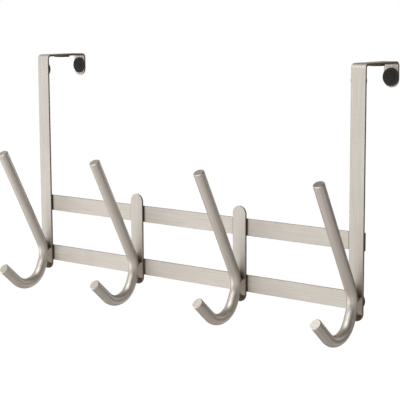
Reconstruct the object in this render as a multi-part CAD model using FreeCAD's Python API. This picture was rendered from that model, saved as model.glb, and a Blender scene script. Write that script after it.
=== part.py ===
import FreeCAD, Part
import math
import os

# Over-door rack of flat bar with four double hooks of round rod.
# X runs along the rack, -Y points from the door to the room, +Z is up.
# The origin is midway between the straps, in the middle of the door channel,
# on the plane of the bridge pads that rests on the door's top edge.

# Driving dimensions, in millimetres and degrees
hook_pitch = 130.0

strap_width = 15.4
strap_thickness = 2.0
strap_height = 228.7
channel_depth = 52.6
lip_height = 23.7
bend_inner_radius = 2.5
bar_edge_radius = 0.6

rail_width = 16.4
rail_thickness = 2.0
lower_rail_lift = 18.1
rail_spacing = 54.0
upper_rail_end_inset = 0.0
lower_rail_end_inset = 1.2

plate_width = 15.6
plate_top_margin = 11.8

rod_diameter = 10.6
prong_length = 113.0
prong_lean_angle = 27.5
neck_bend_radius = 25.0
neck_lean_angle = 24.5
neck_length = 6.9
cup_bend_radius = 22.4
tip_rise_angle = 42.0
tip_length = 23.4
rod_end_chamfer = 0.7
weld_set_down = 0.4

weld_foot_inset = 0.6
weld_crest_sink = 0.05
weld_reach_up = 4.5
weld_reach_down = 11.6
weld_end_slant = 4.7
weld_edge_radius = 1.4

pad_diameter = 16.4
pad_thickness = 1.2
pad_edge_radius = 0.3
left_lip_pad_drop = 12.7
right_lip_pad_drop = 14.2
leg_pad_drop = 15.0
right_leg_pad_inset = 1.0
rail_pad_from_end = 7.6

# The hooks from left to right, the outer two on the straps and the others on plates
HOOK_PLACES = ("left_end", "left_middle", "right_middle", "right_end")

# Levels and planes that follow from the dimensions above
bridge_underside = pad_thickness
bridge_top = bridge_underside + strap_thickness
leg_back = -channel_depth / 2
leg_front = leg_back - strap_thickness
lip_front = channel_depth / 2
lip_back = lip_front + strap_thickness
strap_bottom = bridge_top - strap_height
lip_bottom = bridge_top - lip_height
lower_rail_level = strap_bottom + lower_rail_lift
upper_rail_level = lower_rail_level + rail_spacing
plate_top = upper_rail_level + rail_width / 2 + plate_top_margin
rail_back = leg_back + rail_thickness
strap_offset = hook_pitch * (len(HOOK_PLACES) - 1) / 2
rod_radius = rod_diameter / 2

X_AXIS = FreeCAD.Vector(1, 0, 0)
Y_AXIS = FreeCAD.Vector(0, 1, 0)
Z_AXIS = FreeCAD.Vector(0, 0, 1)
SHARP_EDGE_COSINE = math.cos(math.radians(30))
LARGEST_ROUNDING_SHARE = 1 / 3
LEVEL_ANGLE = 90.0
SEAM_TOLERANCE = 0.01


def point(x, y, z):
    """A point in the rack's frame."""
    return FreeCAD.Vector(x, y, z)


def face_normal(face, place):
    """The outward normal of a face at a point on it."""
    u, v = face.Surface.parameter(place)
    return face.normalAt(u, v)


def sharp_edges(shape):
    """The edges where two faces meet at a real corner."""
    found = []
    for edge in shape.Edges:
        faces = shape.ancestorsOfType(edge, Part.Face)
        if len(faces) != 2:
            continue
        middle = edge.valueAt((edge.FirstParameter + edge.LastParameter) / 2)
        if face_normal(faces[0], middle).dot(face_normal(faces[1], middle)) < SHARP_EDGE_COSINE:
            found.append(edge)
    return found


def soften(shape, radius, wall):
    """The shape with its corners rounded, as far as its thinnest wall allows."""
    return shape.makeFillet(min(radius, wall * LARGEST_ROUNDING_SHARE), sharp_edges(shape))


def arc_through(centre, radius, start, end):
    """An arc in the YZ plane about a centre, from one angle to another in degrees."""
    places = []
    for angle in (start, (start + end) / 2, end):
        turn = math.radians(angle)
        places.append(centre + point(0, radius * math.cos(turn), radius * math.sin(turn)))
    return Part.Arc(*places).toShape()


def strap_section():
    """The strap's side view, one closed wire in the YZ plane."""
    outer_radius = bend_inner_radius + strap_thickness
    bend_level = bridge_top - outer_radius
    front_centre = point(0, leg_front + outer_radius, bend_level)
    back_centre = point(0, lip_back - outer_radius, bend_level)
    front_outer = arc_through(front_centre, outer_radius, 180, 90)
    back_outer = arc_through(back_centre, outer_radius, 90, 0)
    back_inner = arc_through(back_centre, bend_inner_radius, 0, 90)
    front_inner = arc_through(front_centre, bend_inner_radius, 90, 180)
    leg_outer_end = point(0, leg_front, strap_bottom)
    leg_inner_end = point(0, leg_back, strap_bottom)
    lip_outer_end = point(0, lip_back, lip_bottom)
    lip_inner_end = point(0, lip_front, lip_bottom)

    def start(edge):
        return edge.valueAt(edge.FirstParameter)

    def end(edge):
        return edge.valueAt(edge.LastParameter)

    edges = [
        Part.makeLine(leg_outer_end, start(front_outer)),
        front_outer,
        Part.makeLine(end(front_outer), start(back_outer)),
        back_outer,
        Part.makeLine(end(back_outer), lip_outer_end),
        Part.makeLine(lip_outer_end, lip_inner_end),
        Part.makeLine(lip_inner_end, start(back_inner)),
        back_inner,
        Part.makeLine(end(back_inner), start(front_inner)),
        front_inner,
        Part.makeLine(end(front_inner), leg_inner_end),
        Part.makeLine(leg_inner_end, leg_outer_end),
    ]
    return Part.Wire(edges)


def end_corners(centre_x, width, front, thickness, end_level, upward):
    """What is ground off a flat bar to make its end full round.

    upward is 1 where the bar runs up from this end, and -1 where it runs down.
    """
    radius = width / 2
    centre_level = end_level + upward * radius
    low = min(end_level, centre_level)
    corner = Part.makeBox(width, thickness, radius, point(centre_x - radius, front, low))
    round_end = Part.makeCylinder(radius, thickness, point(centre_x, front, centre_level), Y_AXIS)
    return corner.cut(round_end)


def strap(centre_x):
    """A flat bar bent over the door, with two full-round ends."""
    side = Part.Face(strap_section())
    side.translate(X_AXIS * (centre_x - strap_width / 2))
    bar = side.extrude(X_AXIS * strap_width)
    bar = bar.cut(end_corners(centre_x, strap_width, leg_front, strap_thickness, strap_bottom, 1))
    bar = bar.cut(end_corners(centre_x, strap_width, lip_front, strap_thickness, lip_bottom, 1))
    return soften(bar, bar_edge_radius, strap_thickness)


def rail(level, end_inset):
    """A flat bar on edge behind the straps and plates."""
    half_length = strap_offset + strap_width / 2 - end_inset
    corner = point(-half_length, leg_back, level - rail_width / 2)
    bar = Part.makeBox(2 * half_length, rail_thickness, rail_width, corner)
    return soften(bar, bar_edge_radius, rail_thickness)


def middle_plate(centre_x):
    """A short upright bar with two full-round ends, in line with the straps' legs."""
    corner = point(centre_x - plate_width / 2, leg_front, strap_bottom)
    bar = Part.makeBox(plate_width, strap_thickness, plate_top - strap_bottom, corner)
    bar = bar.cut(end_corners(centre_x, plate_width, leg_front, strap_thickness, strap_bottom, 1))
    bar = bar.cut(end_corners(centre_x, plate_width, leg_front, strap_thickness, plate_top, -1))
    return soften(bar, bar_edge_radius, strap_thickness)


def heading(lean):
    """The direction of the rod going down, tilted back from plumb by lean degrees."""
    turn = math.radians(lean)
    return point(0, math.sin(turn), -math.cos(turn))


def forward_of(lean):
    """The direction square to the rod's heading, on the inside of its bends."""
    turn = math.radians(lean)
    return point(0, -math.cos(turn), -math.sin(turn))


def bend(start, lean, end_lean, radius):
    """A bend that starts at a point and turns the rod forward to its new lean."""
    centre = start + forward_of(lean) * radius
    middle = centre - forward_of((lean + end_lean) / 2) * radius
    end = centre - forward_of(end_lean) * radius
    return Part.Arc(start, middle, end).toShape(), end


def hook_path(centre_x):
    """The rod's centre line from the prong's free end down and round to the tip."""
    weld = point(centre_x, leg_front - rod_radius + weld_set_down, lower_rail_level)
    neck_centre = weld + forward_of(0) * neck_bend_radius
    prong_foot = neck_centre - forward_of(prong_lean_angle) * neck_bend_radius
    prong_top = prong_foot - heading(prong_lean_angle) * prong_length
    tip_lean = -(LEVEL_ANGLE + tip_rise_angle)
    neck, neck_end = bend(prong_foot, prong_lean_angle, -neck_lean_angle, neck_bend_radius)
    cup_start = neck_end + heading(-neck_lean_angle) * neck_length
    cup, cup_end = bend(cup_start, -neck_lean_angle, tip_lean, cup_bend_radius)
    tip_end = cup_end + heading(tip_lean) * tip_length
    edges = [
        Part.makeLine(prong_top, prong_foot),
        neck,
        Part.makeLine(neck_end, cup_start),
        cup,
        Part.makeLine(cup_end, tip_end),
    ]
    return Part.Wire(edges), prong_top


def hook(centre_x):
    """A double hook of round rod, set down flat where it is welded on."""
    path, prong_top = hook_path(centre_x)
    ring = Part.Wire(Part.makeCircle(rod_radius, prong_top, heading(prong_lean_angle)))
    rod = path.makePipeShell([ring], True, False)
    ends = [edge for face in rod.Faces if isinstance(face.Surface, Part.Plane) for edge in face.Edges]
    rod = rod.makeChamfer(rod_end_chamfer, ends)
    block_corner = point(centre_x - rod_radius, leg_front, lower_rail_level - neck_bend_radius)
    return rod.cut(Part.makeBox(rod_diameter, rod_diameter, 2 * neck_bend_radius, block_corner))


def weld(centre_x, bar_width, rod):
    """The fillet of weld metal on both sides of a rod, tapered at its two ends.

    Its straight walls run from the bar's front and meet the rod where they just touch it.
    """
    foot = bar_width / 2 - weld_foot_inset
    rod_offset = rod_radius - weld_set_down
    touch_angle = math.acos(rod_radius / math.hypot(foot, rod_offset)) - math.atan2(rod_offset, foot)
    crest = (rod_radius - weld_crest_sink) * math.cos(touch_angle)
    crest_front = leg_front - rod_offset - (rod_radius - weld_crest_sink) * math.sin(touch_angle)
    top_foot = lower_rail_level + weld_reach_up
    bottom_foot = lower_rail_level - weld_reach_down

    def ring(half_width, front, low, high):
        corners = [
            point(centre_x - half_width, front, low),
            point(centre_x + half_width, front, low),
            point(centre_x + half_width, front, high),
            point(centre_x - half_width, front, high),
        ]
        return Part.makePolygon(corners + corners[:1])

    foot_ring = ring(foot, leg_front, bottom_foot, top_foot)
    crest_ring = ring(crest, crest_front, bottom_foot + weld_end_slant, top_foot - weld_end_slant)
    bead = Part.makeLoft([foot_ring, crest_ring], True, True)
    corners = [edge for edge in bead.Edges
               if crest_front + SEAM_TOLERANCE < edge.CenterOfMass.y < leg_front - SEAM_TOLERANCE]
    depth = leg_front - crest_front
    bead = bead.makeFillet(min(weld_edge_radius, depth * LARGEST_ROUNDING_SHARE), corners)
    return bead.cut(rod)


def pad(centre, direction):
    """A round stuck-on pad, its back at centre and its free face along direction."""
    disc = Part.makeCylinder(pad_diameter / 2, pad_thickness, centre, direction)
    rings = [edge for edge in disc.Edges if isinstance(edge.Curve, Part.Circle)]
    rim = max(rings, key=lambda edge: (edge.CenterOfMass - centre).dot(direction))
    return disc.makeFillet(min(pad_edge_radius, pad_thickness * LARGEST_ROUNDING_SHARE), [rim])


def side_pads(side):
    """The four pads of one strap and its rail end, side being -1 for left and 1 for right."""
    centre_x = side * strap_offset
    lip_drop = left_lip_pad_drop if side < 0 else right_lip_pad_drop
    leg_inset = 0 if side < 0 else right_leg_pad_inset
    rail_end = strap_offset + strap_width / 2 - lower_rail_end_inset
    rail_x = side * (rail_end - rail_pad_from_end)
    return {
        "lip_pad": pad(point(centre_x, lip_front, bridge_top - lip_drop), -Y_AXIS),
        "bridge_pad": pad(point(centre_x, 0, bridge_underside), -Z_AXIS),
        "leg_pad": pad(point(centre_x - side * leg_inset, leg_back, bridge_top - leg_pad_drop), Y_AXIS),
        "rail_pad": pad(point(rail_x, rail_back, lower_rail_level), Y_AXIS),
    }


def rack():
    """Every piece of the rack by name."""
    pieces = {
        "left_strap": strap(-strap_offset),
        "right_strap": strap(strap_offset),
        "upper_rail": rail(upper_rail_level, upper_rail_end_inset),
        "lower_rail": rail(lower_rail_level, lower_rail_end_inset),
    }
    for index, place in enumerate(HOOK_PLACES):
        centre_x = index * hook_pitch - strap_offset
        on_strap = place.endswith("_end")
        if not on_strap:
            pieces[f"{place}_plate"] = middle_plate(centre_x)
        rod = hook(centre_x)
        pieces[f"{place}_hook"] = rod
        pieces[f"{place}_weld"] = weld(centre_x, strap_width if on_strap else plate_width, rod)
    for side, side_name in ((-1, "left"), (1, "right")):
        for name, shape in side_pads(side).items():
            pieces[f"{side_name}_{name}"] = shape
    return pieces


os.makedirs("parts", exist_ok=True)
for node, shape in rack().items():
    shape.exportStep(f"parts/{node}.step")
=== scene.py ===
"""Dress an over-door rack: satin nickel bars and rods, black foam pads, and a plain soft studio.

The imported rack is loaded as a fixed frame. Every size here is in metres and every angle in degrees,
and what is added takes its place from the frame's own boxes.
"""

from __future__ import annotations

import logging
import math
from dataclasses import dataclass, field
from enum import Enum

import bmesh
import bpy
from mathutils import Matrix, Vector

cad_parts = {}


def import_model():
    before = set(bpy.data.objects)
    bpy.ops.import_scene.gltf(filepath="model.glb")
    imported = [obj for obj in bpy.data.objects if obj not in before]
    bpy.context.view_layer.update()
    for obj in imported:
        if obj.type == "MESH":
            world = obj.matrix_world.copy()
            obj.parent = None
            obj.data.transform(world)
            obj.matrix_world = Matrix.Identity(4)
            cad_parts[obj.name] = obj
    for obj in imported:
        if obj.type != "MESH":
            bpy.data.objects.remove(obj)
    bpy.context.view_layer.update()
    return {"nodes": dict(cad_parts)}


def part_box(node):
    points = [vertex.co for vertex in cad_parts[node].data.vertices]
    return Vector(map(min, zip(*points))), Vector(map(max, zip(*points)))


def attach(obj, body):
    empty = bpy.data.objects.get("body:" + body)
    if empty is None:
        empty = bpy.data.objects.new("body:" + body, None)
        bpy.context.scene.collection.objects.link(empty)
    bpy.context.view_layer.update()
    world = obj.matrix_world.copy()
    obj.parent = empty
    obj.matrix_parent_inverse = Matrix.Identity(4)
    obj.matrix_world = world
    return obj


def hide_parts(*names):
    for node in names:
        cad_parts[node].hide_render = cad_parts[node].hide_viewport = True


LOG = logging.getLogger("rack")
HOOK_PLACES = ("left_end", "left_middle", "right_middle", "right_end")
SHARP_ANGLE = 40.0

Colour = tuple[float, float, float]
Range = tuple[float, float]


class Grain(Enum):
    """The way the brushing runs on a bar or rod."""

    ALONG_RAIL = (0.02, 1.0, 1.0)
    ALONG_BAR = (1.0, 1.0, 0.02)
    ALONG_ROD = (1.0, 0.012, 0.012)
    ALL_ROUND = (1.0, 0.6, 0.35)


class Graph:
    """A short way to lay out shader nodes and join them."""

    # The mix node's colour sockets, which share their names with its number sockets
    FIRST_COLOUR = 6
    SECOND_COLOUR = 7
    MIXED_COLOUR = 2

    def __init__(self, tree: bpy.types.NodeTree) -> None:
        """Start from an empty tree.

        Args:
            tree: the node tree to fill.
        """
        self.tree = tree
        tree.nodes.clear()

    def add(self, kind: str, values: dict | None = None, **settings: object) -> bpy.types.Node:
        """Add a node.

        Args:
            kind: the node's type name.
            values: socket name to a value, or to an output socket to link from.
            settings: the node's own settings.

        Returns:
            The new node.
        """
        node = self.tree.nodes.new(kind)
        for name, value in settings.items():
            setattr(node, name, value)
        for name, value in (values or {}).items():
            self.feed(node.inputs[name], value)
        return node

    def feed(self, socket: bpy.types.NodeSocket, value: object) -> None:
        """Give a socket a constant or a link.

        Args:
            socket: the input socket.
            value: a number, a colour or an output socket.
        """
        if isinstance(value, bpy.types.NodeSocket):
            self.tree.links.new(value, socket)
        elif isinstance(value, tuple) and len(value) == 3 and socket.type == "RGBA":
            socket.default_value = (*value, 1.0)
        else:
            socket.default_value = value

    def place(self) -> bpy.types.NodeSocket:
        """The place on the piece, in metres."""
        return self.add("ShaderNodeTexCoord").outputs["Object"]

    def split(self, vector: bpy.types.NodeSocket) -> bpy.types.NodeOutputs:
        """The X, Y and Z of a vector."""
        return self.add("ShaderNodeSeparateXYZ", {"Vector": vector}).outputs

    def math(self, operation: str, first: object, second: object = 0.0) -> bpy.types.NodeSocket:
        """Work out a number with a math node.

        Args:
            operation: the math node's operation.
            first: a number or an output socket.
            second: a number or an output socket, where the operation takes two.

        Returns:
            The result's socket.
        """
        node = self.tree.nodes.new("ShaderNodeMath")
        node.operation = operation
        self.feed(node.inputs[0], first)
        self.feed(node.inputs[1], second)
        return node.outputs[0]

    def length(self, across: bpy.types.NodeSocket, along: bpy.types.NodeSocket) -> bpy.types.NodeSocket:
        """Work out a length from its two sides at right angles.

        Args:
            across: one side's socket.
            along: the other side's socket.

        Returns:
            The length's socket.
        """
        squares = (self.math("MULTIPLY", side, side) for side in (across, along))
        return self.math("SQRT", self.math("ADD", *squares))

    def dot(self, place: bpy.types.NodeSocket, way: Vector) -> bpy.types.NodeSocket:
        """Measure a place along a way.

        Args:
            place: the place's socket.
            way: the way.

        Returns:
            The measure's socket.
        """
        node = self.tree.nodes.new("ShaderNodeVectorMath")
        node.operation = "DOT_PRODUCT"
        self.feed(node.inputs[0], place)
        node.inputs[1].default_value = tuple(way)
        return node.outputs["Value"]

    def seen(self) -> bpy.types.NodeSocket:
        """Tell rays that look from rays that only light.

        Returns:
            One where the camera, a reflection or a clear thing looks, otherwise zero.
        """
        path = self.add("ShaderNodeLightPath").outputs
        looked_at = self.math("MAXIMUM", path["Is Camera Ray"], path["Is Glossy Ray"])
        return self.math("MAXIMUM", looked_at, path["Is Transmission Ray"])

    def mix_shader(self, share: object, first: bpy.types.NodeSocket,
                   second: bpy.types.NodeSocket) -> bpy.types.NodeSocket:
        """Mix two shaders.

        Args:
            share: how much of the second one.
            first: the first shader.
            second: the second shader.

        Returns:
            The mixed shader's socket.
        """
        node = self.tree.nodes.new("ShaderNodeMixShader")
        for socket, value in zip(node.inputs, (share, first, second)):
            self.feed(socket, value)
        return node.outputs[0]

    def ramp(self, value: bpy.types.NodeSocket, low: float, high: float,
             start: float, end: float, easing: str = "LINEAR") -> bpy.types.NodeSocket:
        """Map a number from one range to another and clamp it.

        Args:
            value: the number's socket.
            low: where the input range starts.
            high: where the input range ends.
            start: the result at low.
            end: the result at high.
            easing: how it goes from one to the other.

        Returns:
            The result's socket.
        """
        node = self.tree.nodes.new("ShaderNodeMapRange")
        node.interpolation_type = easing
        for name, number in (("From Min", low), ("From Max", high), ("To Min", start), ("To Max", end)):
            node.inputs[name].default_value = number
        self.feed(node.inputs["Value"], value)
        return node.outputs["Result"]

    def blend(self, share: object, first: object, second: object,
              blend_type: str = "MIX") -> bpy.types.NodeSocket:
        """Mix two colours.

        Args:
            share: how much of the second colour, as a number or a socket.
            first: the first colour.
            second: the second colour.
            blend_type: the mix node's blend type.

        Returns:
            The mixed colour's socket.
        """
        node = self.tree.nodes.new("ShaderNodeMix")
        node.data_type = "RGBA"
        node.blend_type = blend_type
        self.feed(node.inputs["Factor"], share)
        self.feed(node.inputs[self.FIRST_COLOUR], first)
        self.feed(node.inputs[self.SECOND_COLOUR], second)
        return node.outputs[self.MIXED_COLOUR]

    def noise(self, coordinates: bpy.types.NodeSocket, scale: float,
              detail: float = 2.0) -> bpy.types.NodeSocket:
        """A cloud pattern.

        Args:
            coordinates: where to sample it.
            scale: how many clouds a metre.
            detail: how many finer layers it has.

        Returns:
            The pattern's socket, from 0 to 1.
        """
        node = self.add("ShaderNodeTexNoise", {"Vector": coordinates, "Scale": scale, "Detail": detail})
        return node.outputs["Fac"]


def new_material(name: str) -> tuple[bpy.types.Material, Graph]:
    """Start a material with no nodes.

    Args:
        name: the material's name.

    Returns:
        The material and its node graph.
    """
    made = bpy.data.materials.new(name)
    made.use_nodes = True
    return made, Graph(made.node_tree)


@dataclass(frozen=True)
class RackPlaces:
    """Where the hooks, the welds and the fronts of the bars are."""

    left_hook: float
    pitch: float
    weld_level: float
    upright_front: float
    rail_front: float

    @classmethod
    def read(cls) -> RackPlaces:
        """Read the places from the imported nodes.

        Returns:
            The places.
        """
        left_low, left_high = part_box("left_end_hook")
        right_low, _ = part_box("right_end_hook")
        rail_low, rail_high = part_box("lower_rail")
        plate_low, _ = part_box("left_middle_plate")
        return cls(
            left_hook=(left_low.x + left_high.x) / 2.0,
            pitch=(right_low.x - left_low.x) / (len(HOOK_PLACES) - 1),
            weld_level=(rail_low.z + rail_high.z) / 2.0,
            upright_front=plate_low.y,
            rail_front=rail_low.y,
        )


@dataclass(frozen=True)
class SatinNickel:
    """Satin nickel plate over brushed steel bar."""

    places: RackPlaces
    colour: Colour = (0.676, 0.641, 0.590)
    warm_cloud: Colour = (0.648, 0.604, 0.547)
    roughness: float = 0.62
    roughness_spread: float = 0.05
    sheen_range: Range = (0.3, 0.7)
    grain_scale: float = 950.0
    grain_detail: float = 3.5
    grain_depth: float = 0.000002
    cloud_scale: float = 42.0
    cloud_share: float = 0.8
    cloud_range: Range = (0.3, 0.75)
    streak_dark: float = 0.84
    streak_range: Range = (0.36, 0.64)
    rim_tint: Colour = (0.50, 0.45, 0.41)
    # Painted shade: its colour, used round each weld on the uprights and beside each upright on the rails,
    # and how far it reaches round a weld
    painted_shade_colour: Colour = (0.24, 0.195, 0.165)
    weld_shade_rise: Range = (0.003, 0.0165)
    weld_shade_aside: Range = (0.0055, 0.0092)
    weld_shade_side_share: float = 0.3
    # How far from each hook's middle plane the painted shadow lies on the rails, beside each upright
    corner_shadow_aside: Range = (0.0080, 0.0102)
    # Painted shade on the faces that turn sideways, darker the more they turn
    edge_shade_colour: Colour = (0.33, 0.30, 0.28)
    edge_shade_turn: Range = (0.25, 0.7)
    rail_edge_shade_share: float = 0.4
    front_skin: float = 0.0005
    front_fade: float = 0.001

    def material(self, name: str, grain: Grain) -> bpy.types.Material:
        """Make the finish for one way of brushing.

        Args:
            name: the material's name.
            grain: the way the brushing runs.

        Returns:
            The material.
        """
        made, graph = new_material(name)
        place = graph.place()
        strokes = self.strokes(graph, place, grain)
        # Painted shade: round the welds and on the side faces of the uprights; beside each upright and on the
        # top and bottom faces of the rails
        if grain is Grain.ALONG_BAR:
            painted_shade_share, edge = self.weld_painted_shade(graph, place), self.painted_edge_shade(graph, "X", 1.0)
        else:
            painted_shade_share, edge = self.corner_painted_shadow(graph, place), self.painted_edge_shade(graph, "Z", self.rail_edge_shade_share)
        shade = graph.blend(painted_shade_share, (1.0, 1.0, 1.0), self.painted_shade_colour)
        shade = graph.blend(edge, shade, self.edge_shade_colour)
        self.finish(graph, place, strokes, strokes, shade)
        return made

    def aside(self, graph: Graph, place: bpy.types.NodeSocket) -> bpy.types.NodeSocket:
        """How far a place is from the nearest hook's middle plane.

        Args:
            graph: the material's nodes.
            place: the place on the metal.

        Returns:
            The distance's socket.
        """
        from_left = graph.math("SUBTRACT", graph.split(place)["X"], self.places.left_hook)
        return graph.math("PINGPONG", from_left, self.places.pitch / 2.0)

    def in_front(self, graph: Graph, place: bpy.types.NodeSocket, front: float) -> bpy.types.NodeSocket:
        """Tell a bar's front face from its back.

        Args:
            graph: the material's nodes.
            place: the place on the metal.
            front: where the bar's front face is.

        Returns:
            One on the front face, and zero at the back.
        """
        skin = front + self.front_skin
        return graph.ramp(graph.split(place)["Y"], skin, skin + self.front_fade, 1.0, 0.0)

    def weld_painted_shade(self, graph: Graph, place: bpy.types.NodeSocket) -> bpy.types.NodeSocket:
        """Painted shade on each upright's front round its weld, standing for the rod's shadow on the plate;
        it fades upwards.

        Args:
            graph: the material's nodes.
            place: the place on the metal.

        Returns:
            The stain's share, from 0 to 1.
        """
        rise = graph.math("SUBTRACT", graph.split(place)["Z"], self.places.weld_level)
        near = graph.ramp(rise, *self.weld_shade_rise, 1.0, 0.0, "SMOOTHSTEP")
        aside = self.aside(graph, place)
        beside = graph.ramp(aside, *self.weld_shade_aside, 1.0, self.weld_shade_side_share, "SMOOTHSTEP")
        in_front = self.in_front(graph, place, self.places.upright_front)
        return graph.math("MULTIPLY", in_front, graph.math("MULTIPLY", near, beside))

    def corner_painted_shadow(self, graph: Graph, place: bpy.types.NodeSocket) -> bpy.types.NodeSocket:
        """A painted shadow on a rail: a dark line along the edge of each upright that crosses it.

        Args:
            graph: the material's nodes.
            place: the place on the metal.

        Returns:
            The line's share, from 0 to 1.
        """
        beside = graph.ramp(self.aside(graph, place), *self.corner_shadow_aside, 1.0, 0.0, "SMOOTHSTEP")
        return graph.math("MULTIPLY", self.in_front(graph, place, self.places.rail_front), beside)

    def painted_edge_shade(self, graph: Graph, axis: str, most: float) -> bpy.types.NodeSocket:
        """Painted shade on the faces of a bar that face one axis: an upright's long side faces, or a rail's
        top and bottom faces.

        Args:
            graph: the material's nodes.
            axis: the axis that the edges face.
            most: the share on the edges themselves.

        Returns:
            The edges' share, from 0 to the most.
        """
        facing = graph.add("ShaderNodeTexCoord").outputs["Normal"]
        turned = graph.math("ABSOLUTE", graph.split(facing)[axis])
        return graph.ramp(turned, *self.edge_shade_turn, 0.0, most, "SMOOTHSTEP")

    def strokes(self, graph: Graph, place: bpy.types.NodeSocket, grain: Grain) -> bpy.types.NodeSocket:
        """The brush strokes.

        Args:
            graph: the material's nodes.
            place: the place on the metal.
            grain: the way the brushing runs.

        Returns:
            The strokes' height, from 0 to 1.
        """
        stretched = graph.add("ShaderNodeMapping", {"Vector": place, "Scale": grain.value}).outputs["Vector"]
        return graph.noise(stretched, self.grain_scale, self.grain_detail)

    def finish(self, graph: Graph, place: bpy.types.NodeSocket, strokes: bpy.types.NodeSocket,
               height: bpy.types.NodeSocket, shade: bpy.types.NodeSocket | None = None) -> None:
        """Put the plate's colour, sheen and relief together.

        Args:
            graph: the material's nodes.
            place: the place on the metal.
            strokes: the brush strokes, from 0 to 1.
            height: the whole relief, in strokes' depths.
            shade: what else darkens the colour, if anything does.
        """
        clouds = graph.noise(place, self.cloud_scale)
        cloud_share = graph.ramp(clouds, *self.cloud_range, 0.0, self.cloud_share)
        colour = graph.blend(cloud_share, self.colour, self.warm_cloud)
        streaks = graph.ramp(strokes, *self.streak_range, self.streak_dark, 1.0)
        colour = graph.blend(1.0, colour, streaks, "MULTIPLY")
        if shade is not None:
            colour = graph.blend(1.0, colour, shade, "MULTIPLY")
        roughness = graph.ramp(strokes, *self.sheen_range, self.roughness - self.roughness_spread,
                               self.roughness + self.roughness_spread)
        bump = graph.add("ShaderNodeBump", {"Height": height, "Distance": self.grain_depth})
        shader = graph.add("ShaderNodeBsdfPrincipled", {
            "Base Color": colour, "Roughness": roughness, "Metallic": 1.0, "Specular Tint": self.rim_tint,
            "Normal": bump.outputs["Normal"]})
        graph.add("ShaderNodeOutputMaterial", {"Surface": shader.outputs["BSDF"]})


@dataclass(frozen=True)
class RodPlate(SatinNickel):
    """Satin nickel plate over drawn rod, with turned rings on its cut ends."""

    colour: Colour = (0.652, 0.606, 0.548)
    warm_cloud: Colour = (0.632, 0.582, 0.521)
    roughness: float = 0.46
    streak_dark: float = 0.88
    rim_tint: Colour = (0.30, 0.27, 0.25)
    ring_spacing: float = 0.0034
    ring_depth: float = 6.0
    end_depth: float = 0.0003
    end_reach: float = 0.0056
    end_fade: float = 0.0004

    def rod_material(self, name: str, ends: tuple[tuple[Vector, Vector], ...]) -> bpy.types.Material:
        """Make the finish of the rods.

        Args:
            name: the material's name.
            ends: the middle of each cut end and the way it faces, on any one hook.

        Returns:
            The material.
        """
        made, graph = new_material(name)
        place = graph.place()
        strokes = self.strokes(graph, place, Grain.ALONG_ROD)
        height = strokes
        for middle, facing in ends:
            height = graph.math("ADD", height, self.end_rings(graph, place, middle, facing))
        self.finish(graph, place, strokes, height)
        return made

    def end_rings(self, graph: Graph, place: bpy.types.NodeSocket, middle: Vector,
                  facing: Vector) -> bpy.types.NodeSocket:
        """Turned rings on one cut end of each hook.

        Args:
            graph: the material's nodes.
            place: the place on the metal.
            middle: the middle of the cut end.
            facing: the way it faces.

        Returns:
            The rings' height, and zero elsewhere.
        """
        parts = graph.split(place)
        aside = self.aside(graph, place)
        rise = graph.math("SUBTRACT", parts["Z"], middle.z)
        out = graph.math("SUBTRACT", parts["Y"], middle.y)
        ahead = graph.math("ADD", graph.math("MULTIPLY", out, facing.y),
                           graph.math("MULTIPLY", rise, facing.z))
        across = graph.math("SUBTRACT", graph.math("MULTIPLY", out, facing.z),
                            graph.math("MULTIPLY", rise, facing.y))
        reach = graph.length(aside, across)
        wave = graph.math("SINE", graph.math("MULTIPLY", reach, 2.0 * math.pi / self.ring_spacing))
        off_plane = graph.math("ABSOLUTE", ahead)
        on_end = graph.ramp(off_plane, self.end_depth / 2.0, self.end_depth, self.ring_depth, 0.0)
        within = graph.ramp(reach, self.end_reach, self.end_reach + self.end_fade, 1.0, 0.0)
        return graph.math("MULTIPLY", wave, graph.math("MULTIPLY", on_end, within))


@dataclass(frozen=True)
class WeldMetal(SatinNickel):
    """Plated weld metal with the ripples of its run."""

    colour: Colour = (0.62, 0.57, 0.50)
    warm_cloud: Colour = (0.56, 0.505, 0.435)
    roughness: float = 0.55
    streak_dark: float = 0.88
    ripple_scale: float = 420.0
    ripple_depth: float = 20.0
    ripple_distortion: float = 1.6
    ripple_detail: float = 2.0
    ripple_detail_scale: float = 3.0

    def weld_material(self, name: str) -> bpy.types.Material:
        """Make the finish of the weld fillets.

        Args:
            name: the material's name.

        Returns:
            The material.
        """
        made, graph = new_material(name)
        place = graph.place()
        strokes = self.strokes(graph, place, Grain.ALL_ROUND)
        ripples = graph.add("ShaderNodeTexWave", {
            "Vector": place, "Scale": self.ripple_scale / (2.0 * math.pi),
            "Distortion": self.ripple_distortion, "Detail": self.ripple_detail,
            "Detail Scale": self.ripple_detail_scale}, bands_direction="Z").outputs["Fac"]
        height = graph.math("ADD", strokes, graph.math("MULTIPLY", ripples, self.ripple_depth))
        self.finish(graph, place, strokes, height)
        return made


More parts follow.
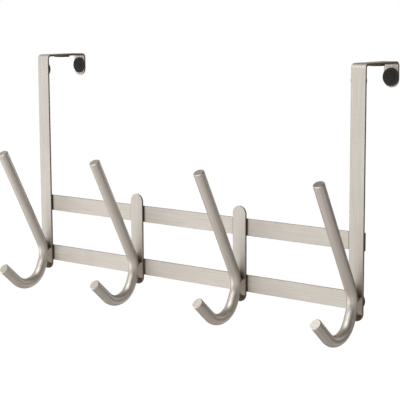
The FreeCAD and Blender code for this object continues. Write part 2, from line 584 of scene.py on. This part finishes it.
@dataclass(frozen=True)
class FoamRubber:
    """Matt black foam rubber, finely pitted and a little paler on its crowns."""

    colour: Colour = (0.018, 0.016, 0.0145)
    worn_colour: Colour = (0.036, 0.032, 0.029)
    roughness: float = 0.68
    roughness_spread: float = 0.08
    sheen_range: Range = (0.3, 0.7)
    speckle_scale: float = 2600.0
    speckle_detail: float = 3.0
    speckle_range: Range = (0.4, 0.7)
    speckle_depth: float = 0.00005

    def material(self, name: str) -> bpy.types.Material:
        """Make the finish.

        Args:
            name: the material's name.

        Returns:
            The material.
        """
        made, graph = new_material(name)
        place = graph.place()
        speckle = graph.noise(place, self.speckle_scale, self.speckle_detail)
        share = graph.ramp(speckle, *self.speckle_range, 0.0, 1.0)
        colour = graph.blend(share, self.colour, self.worn_colour)
        roughness = graph.ramp(speckle, *self.sheen_range, self.roughness - self.roughness_spread,
                               self.roughness + self.roughness_spread)
        bump = graph.add("ShaderNodeBump", {"Height": speckle, "Distance": self.speckle_depth})
        shader = graph.add("ShaderNodeBsdfPrincipled", {
            "Base Color": colour, "Roughness": roughness, "Normal": bump.outputs["Normal"]})
        graph.add("ShaderNodeOutputMaterial", {"Surface": shader.outputs["BSDF"]})
        return made


def dress(node: bpy.types.Object, material: bpy.types.Material) -> None:
    """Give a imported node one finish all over.

    Args:
        node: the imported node's object.
        material: the finish.
    """
    node.data.materials.clear()
    node.data.materials.append(material)
    LOG.info("%s wears %s", node.name, material.name)


@dataclass
class BarFrame:
    """The welded frame of flat bar: straps, plates and rails."""

    nodes: dict[str, bpy.types.Object]
    finish: SatinNickel
    upright_names: tuple[str, ...] = ("left_strap", "right_strap", "left_middle_plate", "right_middle_plate")
    rail_names: tuple[str, ...] = ("upper_rail", "lower_rail")

    def dress(self) -> None:
        """Brush each bar along its length."""
        upright = self.finish.material("satin_nickel_upright", Grain.ALONG_BAR)
        along = self.finish.material("satin_nickel_rail", Grain.ALONG_RAIL)
        for name in self.upright_names:
            dress(self.nodes[name], upright)
        for name in self.rail_names:
            dress(self.nodes[name], along)


@dataclass
class HookSet:
    """The four double hooks of round rod."""

    nodes: dict[str, bpy.types.Object]
    finish: RodPlate
    prong_top: tuple[float, float, float] = (0.0, -0.0882, -0.09562)
    prong_lean: float = 27.5
    tip_end: tuple[float, float, float] = (0.0, -0.09107, -0.21575)
    tip_rise: float = 42.0

    def dress(self) -> None:
        """Give the rods their satin plate and turned ends."""
        lean, rise = math.radians(self.prong_lean), math.radians(self.tip_rise)
        ends = ((Vector(self.prong_top), Vector((0.0, -math.sin(lean), math.cos(lean)))),
                (Vector(self.tip_end), Vector((0.0, -math.cos(rise), math.sin(rise)))))
        plate = self.finish.rod_material("satin_nickel_rod", ends)
        for place in HOOK_PLACES:
            dress(self.nodes[f"{place}_hook"], plate)


@dataclass
class WeldSet:
    """The weld fillets that hold the rods."""

    nodes: dict[str, bpy.types.Object]
    finish: WeldMetal

    def dress(self) -> None:
        """Give the fillets their rippled plate."""
        metal = self.finish.weld_material("satin_nickel_weld")
        for place in HOOK_PLACES:
            dress(self.nodes[f"{place}_weld"], metal)


class PadPlace(Enum):
    """Where a pad is stuck: the place's name, the axis of its free face and the way along that axis."""

    LIP = ("lip", 1, -1.0)
    BRIDGE = ("bridge", 2, -1.0)
    LEG = ("leg", 1, 1.0)
    RAIL = ("rail", 1, 1.0)


@dataclass
class PadSet:
    """The round stuck-on pads: a thin film, then a disc of foam rubber with moulded grooves."""

    finish: FoamRubber = field(default_factory=FoamRubber)
    film_height: float = 0.00018
    film_inset: float = 0.00035
    film_wall_share: float = 0.8
    foot_bevel: float = 0.00012
    edge_round: float = 0.00032
    edge_steps: int = 6
    hub_radius: float = 0.0004
    groove_radii: tuple[float, ...] = (0.0016, 0.0030, 0.0044, 0.0058)
    groove_half: float = 0.00048
    groove_depth: float = 0.00042
    groove_shape: tuple[tuple[float, float], ...] = (
        (1.0, 0.0), (0.6, 0.25), (0.3, 0.8), (0.0, 1.0), (-0.3, 0.8), (-0.6, 0.25), (-1.0, 0.0))
    steps: int = 96

    def dress(self) -> None:
        """Build each pad in its node's place."""
        foam = self.finish.material("black_foam_rubber")
        for side in ("left", "right"):
            for place in PadPlace:
                self.build(side, place, foam)

    def build(self, side: str, place: PadPlace, foam: bpy.types.Material) -> None:
        """Build one pad.

        Args:
            side: left or right.
            place: where it is stuck.
            foam: its finish.
        """
        name, axis, sign = place.value
        node = f"{side}_{name}_pad"
        low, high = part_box(node)
        others = [index for index in range(3) if index != axis]
        radius = (high - low)[others[0]] / 2.0
        thickness = (high - low)[axis]
        middle = (low + high) / 2.0
        middle[axis] = low[axis] if sign > 0.0 else high[axis]
        points: list[tuple[float, float, float]] = []
        for reach, height in self.profile(radius, thickness):
            for step in range(self.steps):
                turn = 2.0 * math.pi * step / self.steps
                point = Vector(middle)
                point[axis] += sign * height
                point[others[0]] += reach * math.cos(turn)
                point[others[1]] += reach * math.sin(turn)
                points.append(tuple(point))
        rows = len(points) // self.steps
        faces: list[tuple[int, ...]] = [tuple(range(self.steps))]
        for row in range(rows - 1):
            for step in range(self.steps):
                beside = (step + 1) % self.steps
                low_row, high_row = row * self.steps, (row + 1) * self.steps
                faces.append((low_row + step, high_row + step, high_row + beside, low_row + beside))
        faces.append(tuple((rows - 1) * self.steps + step for step in reversed(range(self.steps))))
        pad = mesh_object(f"{node}_foam", points, faces, foam)
        settle_faces(pad)
        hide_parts(node)
        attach(pad, "root")
        LOG.info("%s is built", pad.name)

    def profile(self, radius: float, thickness: float) -> list[tuple[float, float]]:
        """The pad's outline from its stuck face to the middle of its free face.

        Args:
            radius: the pad's radius.
            thickness: the pad's thickness.

        Returns:
            Pairs of reach from the axis and height off the stuck face.
        """
        film = radius - self.film_inset
        outline = [(film, 0.0), (film, self.film_height * self.film_wall_share),
                   (radius - self.foot_bevel, self.film_height), (radius, self.film_height + self.foot_bevel)]
        for step in range(self.edge_steps + 1):
            turn = math.pi / 2.0 * step / self.edge_steps
            outline.append((radius - self.edge_round * (1.0 - math.cos(turn)),
                            thickness - self.edge_round * (1.0 - math.sin(turn))))
        for groove in reversed(self.groove_radii):
            for share, depth in self.groove_shape:
                outline.append((groove + self.groove_half * share, thickness - self.groove_depth * depth))
        outline.append((self.hub_radius, thickness))
        return outline


def settle_faces(piece: bpy.types.Object) -> None:
    """Turn a closed piece's faces outwards and shade them smoothly, but for sharp edges.

    Args:
        piece: the piece.
    """
    work = bmesh.new()
    work.from_mesh(piece.data)
    bmesh.ops.recalc_face_normals(work, faces=work.faces)
    for face in work.faces:
        face.smooth = True
    work.to_mesh(piece.data)
    work.free()
    piece.data.set_sharp_from_angle(angle=math.radians(SHARP_ANGLE))


@dataclass(frozen=True)
class StudioCamera:
    """The camera that took the picture, found from the rack's own edges."""

    place: tuple[float, float, float] = (0.799247, -0.98686, 0.05195)
    turn: float = 39.195
    tilt: float = -8.470
    roll: float = -0.281
    lens: float = 116.632
    sensor: float = 36.0

    def build(self) -> bpy.types.Object:
        """Make the camera and look through it.

        Returns:
            The camera object.
        """
        data = bpy.data.cameras.new("picture_camera")
        data.lens = self.lens
        data.sensor_width = self.sensor
        camera = bpy.data.objects.new("picture_camera", data)
        bpy.context.scene.collection.objects.link(camera)
        turn, tilt, roll = (math.radians(angle) for angle in (self.turn, self.tilt, self.roll))
        ahead = Vector((-math.sin(turn) * math.cos(tilt), math.cos(turn) * math.cos(tilt), math.sin(tilt)))
        level_right = Vector((math.cos(turn), math.sin(turn), 0.0))
        level_up = level_right.cross(ahead)
        right = level_right * math.cos(roll) + level_up * math.sin(roll)
        up = level_up * math.cos(roll) - level_right * math.sin(roll)
        axes = Matrix((right, up, -ahead)).transposed().to_4x4()
        camera.matrix_world = Matrix.Translation(self.place) @ axes
        bpy.context.scene.camera = camera
        return camera


def axes_towards(turn: float, rise: float) -> tuple[Vector, Vector, Vector]:
    """The way out from the rack to a lamp or a panel, with its level side and its upper side.

    Args:
        turn: the angle from straight out to the front towards the viewer's right.
        rise: the angle upwards from level.

    Returns:
        Three unit vectors at right angles.
    """
    around, up = math.radians(turn), math.radians(rise)
    out = Vector((math.sin(around) * math.cos(up), -math.cos(around) * math.cos(up), math.sin(up)))
    side = Vector((math.cos(around), math.sin(around), 0.0))
    return out, side, side.cross(out)


@dataclass(frozen=True)
class Panel:
    """A grey panel in the light tent that the metal mirrors, with soft edges.

    Turn is measured from straight out to the front towards the viewer's right, and rise upwards from level.
    The half width and half height are as seen from the rack, in metres at one metre off.
    """

    name: str
    turn: float
    rise: float
    half_width: float
    half_height: float
    brightness: float


@dataclass
class Studio:
    """The white surround, the pale floor, the soft lamp and the light tent with its grey panels."""

    floor_level: float = -2.0
    floor_half: float = 14.0
    floor_colour: Colour = (0.86, 0.86, 0.86)
    floor_seen_colour: Colour = (0.12, 0.12, 0.12)
    floor_seen_white: float = 0.96
    ambient: float = 0.5
    middle: tuple[float, float, float] = (0.0, -0.04, -0.12)
    tent_radius: float = 1.8
    tent_steps: int = 48
    soft_edge: float = 0.6
    least_ahead: float = 0.001
    shade_colour: Colour = (1.12, 1.0, 0.94)
    lamp_turn: float = -17.6
    lamp_rise: float = 47.5
    lamp_distance: float = 1.5
    lamp_width: float = 1.36
    lamp_height: float = 1.17
    lamp_power: float = 11.3
    panels: tuple[Panel, ...] = (
        Panel("behind", 151.3, 65.5, 2.71, 0.51, 0.178),
        Panel("right", 79.1, 15.4, 1.45, 0.65, 0.060),
        Panel("camera_side", 0.8, 2.2, 2.72, 0.25, 0.140),
        Panel("overhead", 134.8, 90.0, 0.87, 3.01, 0.060),
        Panel("below", 86.3, -84.2, 1.19, 2.49, 0.576),
        Panel("below_right", 110.9, -46.0, 0.51, 0.70, 0.237),
        Panel("below_left", -172.8, -68.9, 2.57, 0.25, 0.583),
        Panel("behind_right", 136.1, -10.9, 0.58, 0.42, 0.060),
        Panel("front_left", -47.4, -18.4, 1.28, 0.38, 2.100),
    )

    def build(self) -> None:
        """Set up the whole studio."""
        self.surround()
        self.floor()
        self.tent()
        self.lamp()
        bpy.context.scene.view_settings.view_transform = "Standard"

    def surround(self) -> None:
        """White wherever the camera, a reflection or a clear thing looks, softer as light."""
        world = bpy.data.worlds.new("white_surround")
        bpy.context.scene.world = world
        world.use_nodes = True
        graph = Graph(world.node_tree)
        light = graph.add("ShaderNodeBackground", {"Color": (1.0, 1.0, 1.0), "Strength": self.ambient})
        white = graph.add("ShaderNodeBackground", {"Color": (1.0, 1.0, 1.0), "Strength": 1.0})
        mixed = graph.mix_shader(graph.seen(), light.outputs[0], white.outputs[0])
        graph.add("ShaderNodeOutputWorld", {"Surface": mixed})

    def floor(self) -> None:
        """A plain pale floor below the hanging rack, which keeps its shadow."""
        material, graph = new_material("pale_floor")
        matt = graph.add("ShaderNodeBsdfDiffuse", {"Color": self.floor_colour})
        shaded = graph.add("ShaderNodeBsdfDiffuse", {"Color": self.floor_seen_colour})
        white = graph.add("ShaderNodeEmission", {"Color": (1.0, 1.0, 1.0), "Strength": self.floor_seen_white})
        pale = graph.add("ShaderNodeAddShader")
        graph.feed(pale.inputs[0], shaded.outputs[0])
        graph.feed(pale.inputs[1], white.outputs[0])
        mixed = graph.mix_shader(graph.seen(), matt.outputs[0], pale.outputs[0])
        graph.add("ShaderNodeOutputMaterial", {"Surface": mixed})
        half = self.floor_half
        corners = [(-half, -half, 0.0), (half, -half, 0.0), (half, half, 0.0), (-half, half, 0.0)]
        floor = self.stage_mesh("floor", corners, [(0, 1, 2, 3)], material)
        floor.location = (0.0, 0.0, self.floor_level)

    def tent(self) -> None:
        """A white tent round the rack with soft grey panels, for reflections alone."""
        material, graph = new_material("light_tent")
        material.cycles.emission_sampling = "NONE"
        place = graph.place()
        brightness: object = 1.0
        for panel in self.panels:
            share = self.panel_share(graph, place, panel)
            beyond = graph.math("MULTIPLY", graph.math("SUBTRACT", 1.0, share), brightness)
            brightness = graph.math("ADD", beyond, graph.math("MULTIPLY", share, panel.brightness))
            LOG.info("panel %s is hung", panel.name)
        tint = graph.blend(graph.math("MINIMUM", brightness, 1.0), self.shade_colour, (1.0, 1.0, 1.0))
        glow = graph.add("ShaderNodeEmission", {"Color": tint, "Strength": brightness})
        graph.add("ShaderNodeOutputMaterial", {"Surface": glow.outputs[0]})
        points, faces = ball_of(self.tent_radius, self.tent_steps)
        tent = self.stage_mesh("light_tent", points, faces, material)
        tent.location = self.middle
        tent.visible_camera = False
        tent.visible_diffuse = False
        tent.visible_shadow = False

    def panel_share(self, graph: Graph, place: bpy.types.NodeSocket, panel: Panel) -> bpy.types.NodeSocket:
        """How much of the tent a panel covers at a place.

        Args:
            graph: the tent material's nodes.
            place: the place on the tent.
            panel: the panel.

        Returns:
            The share's socket, from 0 outside to 1 in the panel's middle.
        """
        out, side, upper = axes_towards(panel.turn, panel.rise)
        ahead = graph.math("MAXIMUM", graph.dot(place, out), self.least_ahead)
        across = graph.math("DIVIDE", graph.dot(place, side / panel.half_width), ahead)
        along = graph.math("DIVIDE", graph.dot(place, upper / panel.half_height), ahead)
        reach = graph.length(across, along)
        return graph.ramp(reach, 1.0 - self.soft_edge, 1.0, 1.0, 0.0, "SMOOTHSTEP")

    def lamp(self) -> None:
        """One broad soft lamp, high up at the front left."""
        data = bpy.data.lights.new("soft_lamp", "AREA")
        data.shape = "ELLIPSE"
        data.size = self.lamp_width
        data.size_y = self.lamp_height
        data.energy = self.lamp_power
        lamp = bpy.data.objects.new("soft_lamp", data)
        bpy.context.scene.collection.objects.link(lamp)
        out, side, upper = axes_towards(self.lamp_turn, self.lamp_rise)
        axes = Matrix((side, upper, out)).transposed().to_4x4()
        lamp.matrix_world = Matrix.Translation(Vector(self.middle) + out * self.lamp_distance) @ axes

    def stage_mesh(self, name: str, points: list[tuple[float, float, float]], faces: list[tuple[int, ...]],
                   material: bpy.types.Material) -> bpy.types.Object:
        """Make a mesh for the studio.

        Args:
            name: its name.
            points: its points.
            faces: its faces.
            material: its finish.

        Returns:
            The object.
        """
        made = mesh_object(name, points, faces, material)
        return made


def ball_of(radius: float, steps: int) -> tuple[list[tuple[float, float, float]], list[tuple[int, ...]]]:
    """The points and faces of a closed ball.

    Args:
        radius: its radius.
        steps: how many faces go round it.

    Returns:
        The points and the faces.
    """
    rings = steps // 2
    points = [(0.0, 0.0, -radius)]
    for ring in range(1, rings):
        rise = math.pi * (ring / rings - 0.5)
        for step in range(steps):
            turn = 2.0 * math.pi * step / steps
            points.append((radius * math.cos(rise) * math.cos(turn), radius * math.cos(rise) * math.sin(turn),
                           radius * math.sin(rise)))
    points.append((0.0, 0.0, radius))
    last = len(points) - 1
    faces: list[tuple[int, ...]] = []
    for step in range(steps):
        beside = (step + 1) % steps
        faces.append((0, 1 + beside, 1 + step))
        for ring in range(rings - 2):
            low = 1 + ring * steps
            faces.append((low + step, low + beside, low + steps + beside, low + steps + step))
        top = 1 + (rings - 2) * steps
        faces.append((top + step, top + beside, last))
    return points, faces


def mesh_object(name: str, points: list[tuple[float, float, float]], faces: list[tuple[int, ...]],
                material: bpy.types.Material) -> bpy.types.Object:
    """Make a mesh and put it in the scene.

    Args:
        name: its name.
        points: its points.
        faces: its faces.
        material: its finish.

    Returns:
        The object.
    """
    mesh = bpy.data.meshes.new(name)
    mesh.from_pydata(points, [], faces)
    mesh.materials.append(material)
    made = bpy.data.objects.new(name, mesh)
    bpy.context.scene.collection.objects.link(made)
    return made


def main() -> None:
    """Load the rack, dress it and light it."""
    logging.basicConfig(level=logging.INFO, format="%(message)s")
    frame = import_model()
    nodes = frame["nodes"]
    places = RackPlaces.read()
    StudioCamera().build()
    Studio().build()
    assemblies = (BarFrame(nodes, SatinNickel(places)), HookSet(nodes, RodPlate(places)),
                  WeldSet(nodes, WeldMetal(places)), PadSet())
    for assembly in assemblies:
        assembly.dress()
        LOG.info("%s is dressed", type(assembly).__name__)


if __name__ == "__main__":
    main()
